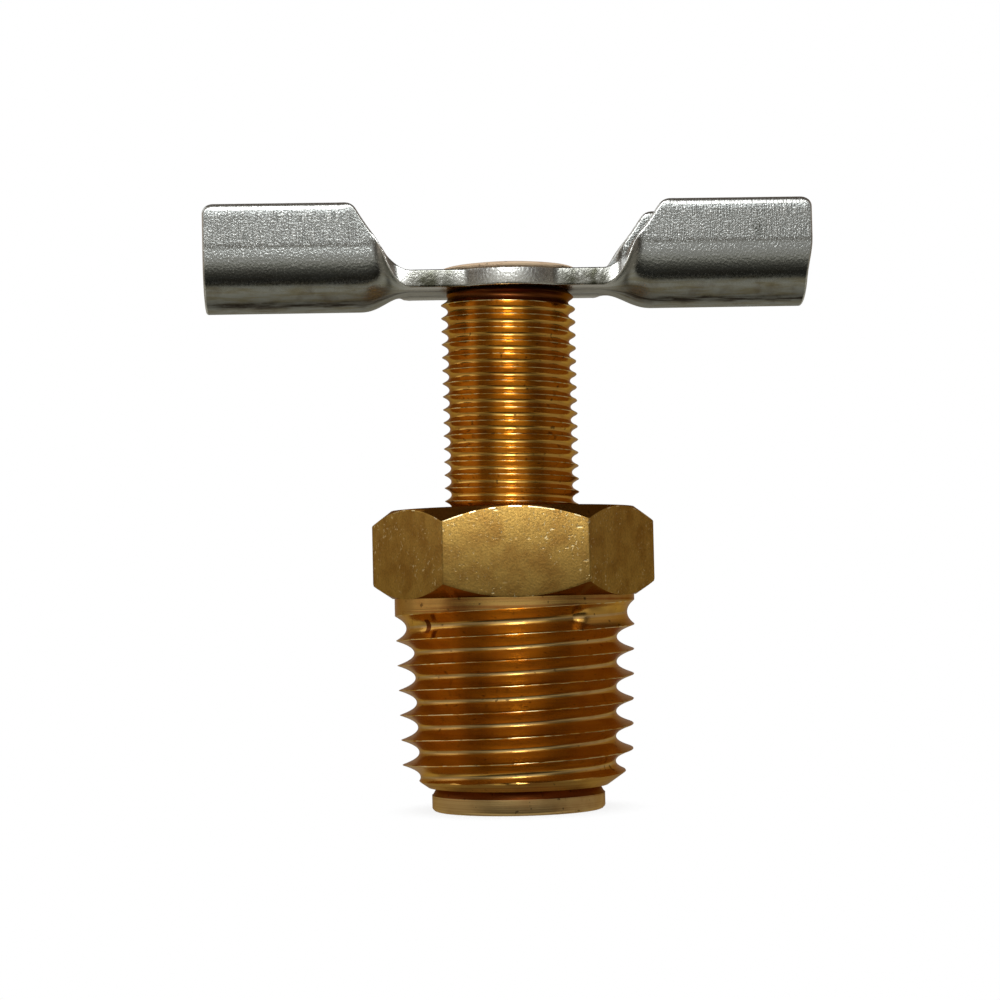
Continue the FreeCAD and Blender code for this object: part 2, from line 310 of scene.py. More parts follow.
def linear(hex_value):
    """Linear RGB and alpha from an sRGB hex value."""
    channels = []
    for start in (1, 3, 5):
        value = int(hex_value[start:start + 2], 16) / 255
        channels.append(value / 12.92 if value <= 0.04045 else ((value + 0.055) / 1.055) ** 2.4)
    return (*channels, 1.0)


def add(tree, kind, sockets=(), **settings):
    """Adds a shader node, sets its properties, and fills its sockets by name or in their order.

    A socket takes a value, another socket's link, or a node, whose first output is linked. The order of a
    MapRange is its value, the range that it comes from and the range that it goes to.
    """
    made = tree.nodes.new("ShaderNode" + kind)
    for key, value in settings.items():
        setattr(made, key, value)
    if isinstance(sockets, dict):
        filled = [(made.inputs[key], value) for key, value in sockets.items()]
    else:
        filled = zip([socket for socket in made.inputs if socket.enabled], sockets)
    for socket, value in filled:
        if isinstance(value, bpy.types.Node):
            value = next(output for output in value.outputs if output.enabled)
        if isinstance(value, bpy.types.NodeSocket):
            tree.links.new(value, socket)
        else:
            socket.default_value = value
    return made


def new_material(name):
    """An empty node material and its tree."""
    material = bpy.data.materials.new(name)
    material.use_nodes = True
    material.node_tree.nodes.clear()
    return material, material.node_tree


class Skin:
    """A closed turned skin, grown ring by ring round the axis along its profile."""

    def __init__(self, angles):
        self.angles = angles
        self.corners = []
        self.faces = []
        self.finishes = []
        self.finish = 0
        self.first = None
        self.last = None

    def point(self, turn, radius, height):
        """Adds a corner and returns its number."""
        self.corners.append((radius * math.cos(turn), radius * math.sin(turn), height))
        return len(self.corners) - 1

    def face(self, *numbers):
        """Adds a face, leaving out corners that fall together."""
        kept = []
        for number in numbers:
            if number not in kept:
                kept.append(number)
        if len(kept) > 2:
            self.faces.append(kept)
            self.finishes.append(self.finish)

    def join(self, ring):
        """Joins a ring to the last one."""
        for near in range(len(ring)):
            far = (near + 1) % len(ring)
            self.face(self.last[near], self.last[far], ring[far], ring[near])

    def grow(self, ring):
        """Joins a new ring to the last one and takes its place."""
        if self.last is None:
            self.first = ring
        else:
            self.join(ring)
        self.last = ring

    def ring(self, radius, height):
        """Grows a round ring."""
        self.grow([self.point(turn, radius, height) for turn in self.angles])

    def pole(self, height):
        """Grows a single point on the axis."""
        self.grow([self.point(0, 0, height)] * len(self.angles))

    def run(self, profile, blunt=0.04 * MM):
        """Grows rings along a profile of (radius, height) corners, each inner corner blunted."""
        for number, (radius, height) in enumerate(profile):
            here = Vector((radius, height))
            if number in (0, len(profile) - 1):
                self.ring(radius, height)
                continue
            for other in (profile[number - 1], profile[number + 1]):
                towards = Vector(other) - here
                step = here + towards.normalized() * min(blunt, towards.length / 3)
                self.ring(step.x, step.y)

    def thread(self, bottom, top, pitch, hand, phases, surface, crest_finish, root_finish, lift=0.0):
        """Grows a threaded stretch whose rows follow the helix; surface gives a radius at turn and height.

        Handling has burnished the crests here and there, and the roots are painted paler all along as a
        painted highlight.
        """
        low = [self.point(turn, surface(turn, bottom), bottom) for turn in self.angles]
        self.grow(low)
        high = [self.point(turn, surface(turn, top), top) for turn in self.angles]
        first = math.floor(bottom / pitch) - 2
        last = math.ceil(top / pitch) + 2
        levels = [(count + phase) * pitch + lift for count in range(first, last) for phase in phases]
        columns = []
        for place, turn in enumerate(self.angles):
            column = []
            for level in levels:
                height = level + hand * pitch * turn / TURN
                if height <= bottom + SNAP:
                    column.append(low[place])
                elif height >= top - SNAP:
                    column.append(high[place])
                else:
                    column.append(self.point(turn, surface(turn, height), height))
            columns.append(column)
        wrap = hand * len(phases)
        columns.append([columns[0][min(max(row + wrap, 0), len(levels) - 1)] for row in range(len(levels))])
        plain = self.finish
        root = len(phases) // 2
        crest_rows = (0, 1, 2, len(phases) - 3, len(phases) - 2, len(phases) - 1)
        for turn, near, far in zip(self.angles, columns, columns[1:]):
            for row in range(len(levels) - 1):
                count, place = divmod(row, len(phases))
                self.finish = plain
                # The root rows take the root finish, a painted highlight where it is paler.
                if place in (root - 1, root):
                    self.finish = root_finish
                elif place in crest_rows:
                    spot = Vector((turn * BURNISH_ROUND, count * BURNISH_TURNS, 0.4))
                    self.finish = crest_finish if noise.noise(spot) > BURNISH_LEVEL else plain
                self.face(near[row], far[row], far[row + 1], near[row + 1])
        self.finish = plain
        self.last = high

    def middles(self):
        """Each face's number and middle."""
        for number, face in enumerate(self.faces):
            yield number, sum((Vector(self.corners[corner]) for corner in face), Vector()) / len(face)

    def to_object(self, name, materials, sharp):
        """Makes the piece's object, with one finish a stretch."""
        mesh = bpy.data.meshes.new(name)
        mesh.from_pydata(self.corners, [], self.faces)
        return finished_object(mesh, name, materials, self.finishes, sharp)


def finished_object(mesh, name, materials, finishes, sharp):
    """Puts a mesh into the scene as an object with its materials and shading."""
    mesh.validate()
    for material in materials:
        mesh.materials.append(material)
    mesh.polygons.foreach_set("material_index", finishes)
    mesh.shade_smooth()
    mesh.set_sharp_from_angle(angle=sharp)
    made = bpy.data.objects.new(name, mesh)
    bpy.context.scene.collection.objects.link(made)
    return made


def thread_phases(crest, flank_rows):
    """Rows of one pitch, from crest to crest: the crest's rounding, then both flanks down to the root."""
    half = [crest * share for share in (0.4, 0.75)]
    half += [crest + (0.5 - crest) * step / flank_rows for step in range(flank_rows)]
    return [0.0] + half + [0.5] + [1 - phase for phase in reversed(half)]


def groove_share(phase, crest):
    """How deep the groove is at a phase, from 0 on the rounded crest to 1 at the hollow root."""
    away = min(phase, 1 - phase)
    flank = 1 - (1 - 2 * max(away, crest)) ** HOLLOW
    slope = 2 * HOLLOW * (1 - 2 * crest) ** (HOLLOW - 1)
    lowered = 1 - (1 - 2 * crest) ** HOLLOW - slope * crest / 2
    if away < crest:
        flank = lowered + slope * away * away / (2 * crest)
    return (flank - lowered) / (1 - lowered)


def torn(turn, number, share, rag):
    """How far a crest is torn down at a place; nothing is lost in the groove."""
    spread_round, spread_turns, seed, depth = rag
    spot = Vector((turn * spread_round, number * spread_turns, seed))
    return abs(noise.noise(spot)) * depth * (1 - share) ** 4


def between(stops, value):
    """The value at a place along a line of (place, value) stops."""
    if value <= stops[0][0]:
        return stops[0][1]
    for (start, low), (end, high) in zip(stops, stops[1:]):
        if value <= end:
            return low + (high - low) * (value - start) / (end - start)
    return stops[-1][1]


def heading(turn):
    """Unit vector at an angle from +X."""
    return Vector((math.cos(turn), math.sin(turn)))


def eased(value, start, run):
    """A smooth rise from 0 to 1 over a run from a start."""
    share = min(max((value - start) / run, 0), 1)
    return share ** 3 * (10 - 15 * share + 6 * share * share)


def cut(piece, cutter):
    """Cuts a cutter object out of a piece for good."""
    modifier = piece.modifiers.new("cut", "BOOLEAN")
    modifier.operation = "DIFFERENCE"
    modifier.solver = "EXACT"
    modifier.object = cutter
    shown = bpy.context.evaluated_depsgraph_get()
    mesh = bpy.data.meshes.new_from_object(piece.evaluated_get(shown))
    piece.modifiers.clear()
    old = piece.data
    piece.data = mesh
    bpy.data.meshes.remove(old)
    spare = cutter.data
    bpy.data.objects.remove(cutter)
    bpy.data.meshes.remove(spare)


def rod(name, radius, low, high, turned=None):
    """A round cutter between two heights, turned about the origin if asked."""
    skin = Skin([TURN * (step + DRILL_TURN) / DRILL_STEPS for step in range(DRILL_STEPS)])
    skin.pole(low)
    skin.ring(radius, low)
    skin.ring(radius, high)
    skin.pole(high)
    made = skin.to_object(name, [], SHARP_BRASS)
    if turned:
        made.data.transform(turned)
    return made


def cut_brass(name, hex_value, roughness, line_spacing, grain, shade_on_top=0.0, streaked=0.15, metal=1.0):
    """Free-cutting brass as the tool leaves it: yellow metal with fine rings round the axis.

    The rings stretch the highlight up and down, and the tool's chatter leaves it slightly uneven.
    Red-brown tarnish lies in streaks and patches where the cutting oil stayed, with a few dark specks of
    dirt, and the same red-brown is painted on faces that look up as painted shade. The rings are given by
    their spacing and their grain's depth.
    """
    film_and_shade_value = bpy.context.scene.drain_cock_finishes.tarnish_and_shade
    material, tree = new_material(name)
    spot = add(tree, "TexCoord")
    place = spot.outputs["Object"]
    lines = add(tree, "Mapping", {"Vector": place, "Scale": (1 / RING_RUN, 1 / RING_RUN, 1 / line_spacing)})
    rings = add(tree, "TexNoise", [lines, 1.0, 3.0])
    blotch = add(tree, "TexNoise", [place, 1 / (1.6 * MM), 4.0])
    patches = add(tree, "MapRange", [blotch, 0.48, 0.75, 0.0, 0.4])
    facing = add(tree, "SeparateXYZ", [spot.outputs["Normal"]])
    # Painted shade: faces that look up are painted towards the tarnish colour.
    upward_shade = add(tree, "MapRange", [facing.outputs["Z"], 0.2, 0.65, 0.0, shade_on_top])
    film_and_shade = add(tree, "Math", [patches, upward_shade], operation="MAXIMUM")
    streaks = add(tree, "MapRange", [rings, 0.5, 0.68, 0.0, streaked])
    tarnish_and_shade = add(tree, "Math", [film_and_shade, streaks], operation="ADD", use_clamp=True)
    tint = add(tree, "Mix", [tarnish_and_shade, linear(hex_value), linear(film_and_shade_value)], data_type="RGBA")
    specks = add(tree, "TexNoise", [place, 1 / (0.35 * MM), 2.0])
    dirt = add(tree, "MapRange", [specks, 0.66, 0.74, 0.0, 0.7])
    soiled = add(tree, "Mix", [dirt, tint, linear(DIRT_SPECK)], data_type="RGBA")
    rough = add(tree, "MapRange", [rings, 0.0, 1.0, roughness - 0.05, roughness + 0.09])
    bump = add(tree, "Bump", {"Height": rings, "Strength": grain, "Distance": 0.02 * MM})
    shader = add(tree, "BsdfPrincipled", {
        "Base Color": soiled, "Metallic": metal, "Roughness": rough, "Specular Tint": linear(BRASS_EDGE),
        "Normal": bump})
    add(tree, "OutputMaterial", [shader])
    return material


def drawn_brass(hex_value, brown_value, bare_value):
    """Brass bar as drawn through its die: a dull olive skin with a fine grain, clouded with brown.

    Handling in the bin has laid clean metal bare in clusters of small nicks and in a few scratches.
    """
    material, tree = new_material("Drawn brass bar")
    place = add(tree, "TexCoord").outputs["Object"]
    grain = add(tree, "TexNoise", [place, 1 / (0.13 * MM), 4.0])
    cloud = add(tree, "TexNoise", [place, 1 / (1.1 * MM), 4.0])
    tone = add(tree, "MapRange", [cloud, 0.42, 0.66, 0.0, 0.6])
    tint = add(tree, "Mix", [tone, linear(hex_value), linear(brown_value)], data_type="RGBA")
    fleck = add(tree, "MapRange", [grain, 0.42, 0.7, 0.0, 0.4])
    olive = add(tree, "Mix", [fleck, tint, linear(OLIVE_FLECK)], data_type="RGBA")
    handled = add(tree, "TexNoise", [place, 1 / (2.6 * MM), 2.0])
    patch = add(tree, "MapRange", [handled, 0.42, 0.54, 0.0, 0.95])
    chip = add(tree, "TexNoise", {
        "Vector": place, "Scale": 1 / (0.2 * MM), "Detail": 2.0, "Distortion": 0.6})
    nick = add(tree, "MapRange", [chip, 0.62, 0.7, 0.0, 0.85])
    slanted = add(tree, "Mapping", {
        "Vector": place, "Rotation": (0.3, 0.7, 0.2),
        "Scale": (1 / (1.6 * MM), 1 / (0.6 * MM), 1 / (0.6 * MM))})
    swipe = add(tree, "TexVoronoi", [slanted, 1.0])
    scratch = add(tree, "MapRange", [swipe, 0.05, 0.13, 0.9, 0.0])
    marks = add(tree, "Math", [nick, scratch], operation="MAXIMUM")
    laid_bare = add(tree, "Math", [marks, patch], operation="MULTIPLY")
    bare = add(tree, "Mix", [laid_bare, olive, linear(bare_value)], data_type="RGBA")
    rough = add(tree, "MapRange", [grain, 0.3, 0.7, 0.36, 0.5])
    relief = add(tree, "Math", [laid_bare, -1.2, grain], operation="MULTIPLY_ADD")
    bump = add(tree, "Bump", {"Height": relief, "Strength": 0.4, "Distance": 0.03 * MM})
    shader = add(tree, "BsdfPrincipled", {
        "Base Color": bare, "Metallic": 1.0, "Roughness": rough, "Specular Tint": linear(BRASS_EDGE),
        "Normal": bump})
    add(tree, "OutputMaterial", [shader])
    return material


def zinc_plate(hex_value, stain_value, bend, pit):
    """Mild steel sheet with bright zinc plate: mid grey with an orange peel on the flanks, with glints
    painted on it in pale zinc.

    Draw scratches run up the flanks from the folding die, whose edge left a row of bright ticks just above
    the bend. The bend is rubbed smooth, with brown passivation smudges and a broken dark line under it.
    One flank has a spot where the plate is pitted through to dark steel.
    """
    # The map that the patterns lie on is the flat blank in millimetres.
    material, tree = new_material("Zinc plated sheet")
    place = add(tree, "UVMap", uv_map="sheet").outputs["UV"]
    peel = add(tree, "TexNoise", [place, 1 / 0.12, 3.0])
    across = add(tree, "Mapping", {"Vector": place, "Scale": (1 / 0.055, 1 / 1.1, 1)})
    lines = add(tree, "TexNoise", [across, 1.0, 3.0])
    along = add(tree, "Mapping", {"Vector": place, "Scale": (1 / 1.8, 1 / 0.22, 1)})
    smear = add(tree, "TexNoise", [along, 1.0, 4.0])
    blot = add(tree, "TexNoise", [place, 1 / 1.2, 4.0])
    split = add(tree, "SeparateXYZ", [place])
    side = add(tree, "Math", [split.outputs["Y"]], operation="ABSOLUTE")
    lower = add(tree, "MapRange", [side, bend * 0.85, bend * 0.55, 0.0, 1.0])
    smudge = add(tree, "MapRange", [smear, 0.42, 0.62, 0.1, 0.8])
    dark = add(tree, "MapRange", [blot, 0.52, 0.68, 0.0, 0.4])
    wander = add(tree, "Math", [blot, 0.5, side], operation="MULTIPLY_ADD")
    bend_line = add(tree, "Math", [wander, bend * 0.36], operation="SUBTRACT")
    near_bend_line = add(tree, "Math", [bend_line], operation="ABSOLUTE")
    on_bend_line = add(tree, "MapRange", [near_bend_line, 0.1, 0.32, 0.95, 0.0])
    gaps = add(tree, "MapRange", [smear, 0.38, 0.56, 0.25, 1.0])
    flank = add(tree, "MapRange", [side, bend * 0.66, bend * 0.86, 0.12, 1.0])
    painted_glint = add(tree, "MapRange", [peel, 0.58, 0.72, 0.0, 0.8])
    drawn = add(tree, "MapRange", [side, bend + 0.4, bend + 0.8, 0.0, 1.0])
    pale = add(tree, "MapRange", [lines, 0.53, 0.66, 0.0, 0.45])
    grey = add(tree, "MapRange", [lines, 0.46, 0.34, 0.0, 0.45])
    die = add(tree, "Math", [side, bend + 0.62], operation="SUBTRACT")
    near_die = add(tree, "Math", [die], operation="ABSOLUTE")
    ridge = add(tree, "MapRange", [near_die, 0.0, 0.16, 1.0, 0.0])
    picked = add(tree, "MapRange", [lines, 0.5, 0.6, 0.0, 0.8])
    ticks = add(tree, "Math", [ridge, picked], operation="MULTIPLY")
    ticked = add(tree, "Math", [lines, drawn, ticks], operation="MULTIPLY_ADD")
    relief = add(tree, "Math", [peel, flank, ticked], operation="MULTIPLY_ADD")
    pit_off = add(tree, "VectorMath", [place, pit], operation="DISTANCE")
    pit_near = add(tree, "MapRange", [pit_off, 0.2, 0.6, 1.0, 0.0])
    pit_deep = add(tree, "MapRange", [peel, 0.5, 0.4, 0.0, 0.9])
    # What lies on the plate, one over the other: where it is, how much of it, and its colour.
    layers = (
        (lower, smudge, stain_value),
        (lower, dark, BROWN_BLOT),
        # A broken dark line under the bend.
        (on_bend_line, gaps, DARK_BEND_LINE),
        # Painted glints: pale zinc specks on the flanks.
        (flank, painted_glint, BRIGHT_ZINC),
        (drawn, pale, BRIGHT_ZINC),
        (drawn, grey, GREY_ZINC),
        (pit_near, pit_deep, PITTED_STEEL),
    )
    coat = linear(hex_value)
    for where, amount, value in layers:
        share = add(tree, "Math", [where, amount], operation="MULTIPLY")
        coat = add(tree, "Mix", [share, coat, linear(value)], data_type="RGBA")
    satin = add(tree, "MapRange", [peel, 0.3, 0.7, 0.14, 0.26])
    dull = add(tree, "MapRange", [side, bend * 0.62, bend * 0.48, 0.0, 0.2])
    rough = add(tree, "Math", [dull, satin], operation="ADD")
    bump = add(tree, "Bump", {"Height": relief, "Strength": 0.6, "Distance": 0.035 * MM})
    shader = add(tree, "BsdfPrincipled", {
        "Base Color": coat, "Metallic": 1.0, "Roughness": rough, "Normal": bump})
    add(tree, "OutputMaterial", [shader])
    return material


def sheared_zinc(hex_value, film_and_shade_value):
    """The sheet's sheared edge under its plate: pale and finely pitted.

    The straight edges of the strip are painted darker and mottled as painted shade, and the disc and the
    wings are left paler.
    """
    material, tree = new_material("Zinc plated sheared edge")
    place = add(tree, "UVMap", uv_map="sheet").outputs["UV"]
    marks = add(tree, "TexNoise", [place, 1 / 0.15, 4.0])
    cloud = add(tree, "TexNoise", [place, 1 / 0.9, 5.0])
    solid = add(tree, "SeparateXYZ", [add(tree, "TexCoord").outputs["Object"]])
    away = add(tree, "Math", [solid.outputs["X"]], operation="ABSOLUTE")
    # Painted shade: the strip's straight edges are painted darker by their distance from the axis.
    outside = add(tree, "MapRange", [away, 1.6 * MM, 3.6 * MM, 0.05, 1.0])
    inside = add(tree, "MapRange", [away, 5.4 * MM, 5.9 * MM, 1.0, 0.1])
    film_and_shade = add(tree, "MapRange", [cloud, 0.36, 0.6, 0.55, 1.0])
    shaded_stretch = add(tree, "Math", [outside, inside], operation="MULTIPLY")
    share = add(tree, "Math", [shaded_stretch, film_and_shade], operation="MULTIPLY")
    tint = add(tree, "Mix", [share, linear(hex_value), linear(film_and_shade_value)], data_type="RGBA")
    rough = add(tree, "MapRange", [marks, 0.3, 0.7, 0.2, 0.36])
    bump = add(tree, "Bump", {"Height": marks, "Strength": 0.65, "Distance": 0.035 * MM})
    shader = add(tree, "BsdfPrincipled", {
        "Base Color": tint, "Metallic": 1.0, "Roughness": rough, "Normal": bump})
    add(tree, "OutputMaterial", [shader])
    return material


def hexagon_outline(apothem, edge):
    """Directions and radii of a hexagon with rounded edges, its flats to front and back."""
    places = []
    half_flat = (apothem - edge) * math.tan(math.pi / 6)
    corner = (apothem - edge) / math.cos(math.pi / 6)
    for side in range(6):
        start = math.radians(60 * side)
        facing = start + math.pi / 6
        end = math.radians(60 * (side + 1))
        along = Vector((-math.sin(facing), math.cos(facing)))
        for step in range(EDGE_STEPS):
            turn = start + math.pi / 6 * step / EDGE_STEPS
            places.append(corner * heading(start) + edge * heading(turn))
        for step in range(FLAT_STEPS + 1):
            shift = half_flat * (2 * step / FLAT_STEPS - 1)
            places.append(apothem * heading(facing) + shift * along)
        for step in range(1, EDGE_STEPS):
            turn = facing + math.pi / 6 * step / EDGE_STEPS
            places.append(corner * heading(end) + edge * heading(turn))
    turns = [math.atan2(place.y, place.x) % TURN for place in places]
    return turns, [place.length for place in places]


class DRAINCOCK_OT_body(bpy.types.Operator):
    """Builds the brass body with its pipe thread and hexagon"""
    bl_idname = "draincock.body"
    bl_label = "Brass body"

    def execute(self, context):
        size = context.scene.drain_cock_body
        finish = context.scene.drain_cock_finishes
        end = BODY_LOW[2]
        top = BODY_HIGH[2]
        apothem = BODY_HIGH[1]
        collar_top = end + size.pipe_length + size.collar_height
        turns, reach = hexagon_outline(apothem, size.hex_edge)
        cut_face, turned, drawn, band, painted_shade, bright, shaded_cone, root = range(8)
        crest = 0.03
        taper = 1 / 32
        small = size.pipe_small / 2
        collar = small + size.pipe_length * taper
        grooves = (collar_top - size.pipe_lift) / size.pipe_pitch - 0.5 - size.pipe_end / TURN
        groove_end = size.pipe_end + TURN * math.floor(grooves)

        def chamfer(height):
            """Radius of the lower end's chamfer."""
            return size.end_face + (height - end) / math.tan(size.end_angle)

        def groove(turn, height):
            """The groove's number, its depth, what is left of it at a place, and the degrees to its end."""
            travel = (height - size.pipe_lift) / size.pipe_pitch - turn / TURN
            number = math.floor(travel)
            before = math.degrees(groove_end - turn - TURN * number)
            left = between(RUN_OUT, before)
            return number, groove_share(travel - number, crest) * left, left, before

        def surface(turn, height):
            """Radius of the pipe thread: torn crest, groove, and the chamfer at the lower end."""
            outer = min(small + (height - end) * taper, collar)
            number, share, left, _ = groove(turn, height)
            lost = torn(turn, number, share, PIPE_RAG) * left
            return min(outer - size.pipe_depth * share - lost, chamfer(height))

        skin = Skin(turns)
        skin.finish = turned
        skin.ring(size.seat, end)
        skin.finish = cut_face
        phases = thread_phases(crest, PIPE_FLANK_ROWS)
        skin.thread(
            end, collar_top, size.pipe_pitch, RIGHT_HAND, phases, surface, bright, root, size.pipe_lift)
        for number, middle in skin.middles():
            _, share, left, before = groove(math.atan2(middle.y, middle.x) % TURN, middle.z)
            if middle.xy.length > chamfer(middle.z) - CHAMFER_NEAR:
                skin.finishes[number] = turned
            elif left < COLLAR_SHARE:
                skin.finishes[number] = band
            # Painted shade: dark ticks at two of the groove's steps.
            elif any(abs(before - stop) < width and share > deep for stop, width, deep in CHASER_STOPS):
                skin.finishes[number] = painted_shade
        cone = size.hex_chamfer / 2
        rise = [(radius - cone) * math.tan(size.hex_angle) for radius in reach]
        blunt = 0.07 * MM
        # Rings from the foot of the hexagon's lower cone to the top of its upper one.
        # The hexagon's cones are painted dark brown as painted shade.
        rows = (
            (collar_top, 1, 0, 0, 0, shaded_cone),
            (collar_top, 1, 1, -blunt, blunt / 2, shaded_cone),
            (collar_top, 1, 1, blunt, 0, drawn),
            (top, -1, 1, blunt, 0, drawn),
            # The upper bevel is painted bare brass as a painted glint.
            (top, -1, 1, 0, blunt / 3, bright),
            (top, -1, 0, 0, 0, shaded_cone),
        )
        for level, way, share, lift, inset, skin.finish in rows:
            skin.grow([
                skin.point(turn, cone + (radius - cone) * share - inset, level + way * (up + lift) * share)
                for turn, radius, up in zip(turns, reach, rise)])
        # Painted glint: the upper bevel keeps its bare brass only in specks.
        for number, middle in skin.middles():
            on_hexagon = middle.z > collar_top and skin.finishes[number] == bright
            if on_hexagon and noise.noise(middle * GLINT_SPECKS) < GLINT_SPECK_LEVEL:
                skin.finishes[number] = drawn
        skin.finish = turned
        chamber_top = end + size.chamber_depth
        skin.run([
            (cone - blunt, top),
            (size.hole + size.hole_break, top),
            (size.hole, top - size.hole_break),
            (size.hole, chamber_top + size.chamber - size.hole),
            (size.chamber, chamber_top),
            (size.chamber, end + size.seat_height),
        ])
        skin.join(skin.first)
        materials = [
            # The up-facing flanks of the pipe thread get painted shade.
            cut_brass("Cut brass pipe thread", finish.cut_brass, 0.2, 0.09 * MM, 0.25, shade_on_top=0.5),
            cut_brass("Turned brass", finish.turned_brass, 0.3, 0.1 * MM, 0.5, streaked=0.5),
            drawn_brass(finish.drawn_brass, finish.drawn_brown, finish.bare_brass),
            cut_brass("Turned brass collar", finish.turned_brass, 0.2, 0.2 * MM, 0.9, streaked=0.75),
            # Dark brown painted as shade at the pipe thread's steps.
            cut_brass("Brass in painted shade", finish.shade_brown, 0.34, 0.09 * MM, 0.3),
            cut_brass("Brass of burnished crests and painted glints", finish.bare_brass, 0.18, 0.09 * MM, 0.2),
            # Dark brown painted as shade on the hexagon's cones.
            cut_brass("Turned brass cone in painted shade", finish.cone_shade_brass, 0.3, 0.08 * MM, 0.4),
            # Paler brass painted on the roots as a painted highlight.
            cut_brass("Brass root with painted highlight", finish.root_brass, 0.2, 0.09 * MM, 0.2),
        ]
        piece = skin.to_object("brass_body", materials, SHARP_BRASS)
        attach(piece, "valve_body")
        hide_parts("body")
        return {"FINISHED"}


class DRAINCOCK_OT_stem(bpy.types.Operator):
    """Builds the hollow brass stem with its head, left-hand thread and rolled upper end"""
    bl_idname = "draincock.stem"
    bl_label = "Brass stem"

    def execute(self, context):
        size = context.scene.drain_cock_stem
        finish = context.scene.drain_cock_finishes
        head = STEM_HIGH[0]
        roll_top = STEM_HIGH[2]
        roll_under = roll_top - size.roll_height
        shoulder = HANDLE_LOW[2] + size.shoulder
        neck_top = size.neck_bottom + size.neck_length
        cut_face, turned, rolled, painted_shade, bright = range(5)
        crest = 0.05

        def surface(turn, height):
            """Radius of the left-hand thread, with its bevelled ends."""
            travel = height / size.pitch + turn / TURN
            share = groove_share(travel % 1, crest)
            start = size.neck + (height - neck_top)
            finish_bevel = size.thread - size.top_break + (shoulder - height)
            lost = torn(turn, math.floor(travel), share, STEM_RAG)
            return min(size.thread - size.depth * share - lost, start, finish_bevel)

        skin = Skin([TURN * step / STEM_STEPS for step in range(STEM_STEPS)])
        skin.finish = turned
        skin.pole(0)
        skin.run([
            (head * 0.5, 0),
            (head - size.rim_break, 0),
            (head, size.rim_break),
            (head, size.rim),
        ])
        # Painted shade: the head's cone and the neck are painted dark brown.
        skin.finish = painted_shade
        skin.run([
            (size.cone, size.rim),
            (size.neck, size.neck_bottom),
            (size.neck, neck_top - 0.04 * MM),
        ])
        skin.finish = cut_face
        phases = thread_phases(crest, STEM_FLANK_ROWS)
        skin.thread(neck_top, shoulder, size.pitch, LEFT_HAND, phases, surface, bright, cut_face)
        # Painted shadow: under the handle's disc the thread is painted dark brown down to a ragged line.
        for number, middle in skin.middles():
            ragged = SHADOW_LINE + SHADOW_WANDER * noise.noise(middle * SHADOW_SPREAD)
            if middle.z > shoulder - ragged * MM:
                skin.finishes[number] = painted_shade
        skin.finish = rolled
        skin.run([
            (size.spigot, shoulder),
            (size.spigot, roll_under),
            (size.roll - 0.15 * MM, roll_under),
            (size.roll, roll_under + 0.12 * MM),
            (size.roll, roll_top - 0.23 * MM),
            (size.roll - 0.2 * MM, roll_top - 0.12 * MM),
            (size.roll - 1.0 * MM, roll_top),
            (size.bore + 0.9 * MM, roll_top - 0.03 * MM),
            (size.bore + 0.6 * MM, roll_top - 0.18 * MM),
            (size.bore + 0.15 * MM, roll_top - 0.68 * MM),
            (size.bore, roll_top - 0.9 * MM),
            (size.bore, size.neck_bottom - 0.4 * MM),
        ], blunt=0.06 * MM)
        skin.pole(size.neck_bottom - 1.3 * MM)
        materials = [
            # The up-facing flanks of the stem thread get painted shade.
            cut_brass("Cut brass stem thread", finish.cut_brass, 0.17, 0.07 * MM, 0.2, shade_on_top=0.25),
            cut_brass("Turned brass head", finish.root_brass, 0.32, 0.1 * MM, 0.5, streaked=0.35),
            cut_brass("Rolled brass end", finish.rolled_brass, 0.6, 0.2 * MM, 0.5, metal=0.45),
            # Dark brown painted as shade on the head's cone and neck and under the handle's disc.
            cut_brass("Brass of the stem in painted shade", finish.shade_brown, 0.34, 0.07 * MM, 0.3),
            cut_brass("Burnished stem crest brass", finish.bare_brass, 0.18, 0.07 * MM, 0.2),
        ]
        piece = skin.to_object("brass_stem", materials, SHARP_BRASS)
        level = size.neck_bottom + size.neck_length / 2
        sideways = Matrix.Translation((0, 0, level)) @ Matrix.Rotation(math.pi / 2, 4, "Y")
        cut(piece, rod("port_drill", size.port, -size.neck * 1.5, size.neck * 1.5, sideways))
        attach(piece, "screw_stem")
        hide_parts("stem")
        return {"FINISHED"}


def arc(centre, radius, start, end, count, hollow=False):
    """Points and outward directions along an arc of the blank's outline, in degrees."""
    made = []
    for step in range(count + 1):
        away = heading(math.radians(start + (end - start) * step / count))
        made.append((centre + radius * away, -away if hollow else away))
    return made


def straight(start, end, count):
    """Points and outward directions along a straight edge, its outside to the left of its run."""
    run = (end - start).normalized()
    away = Vector((-run.y, run.x))
    return [(start.lerp(end, step / count), away) for step in range(count + 1)]


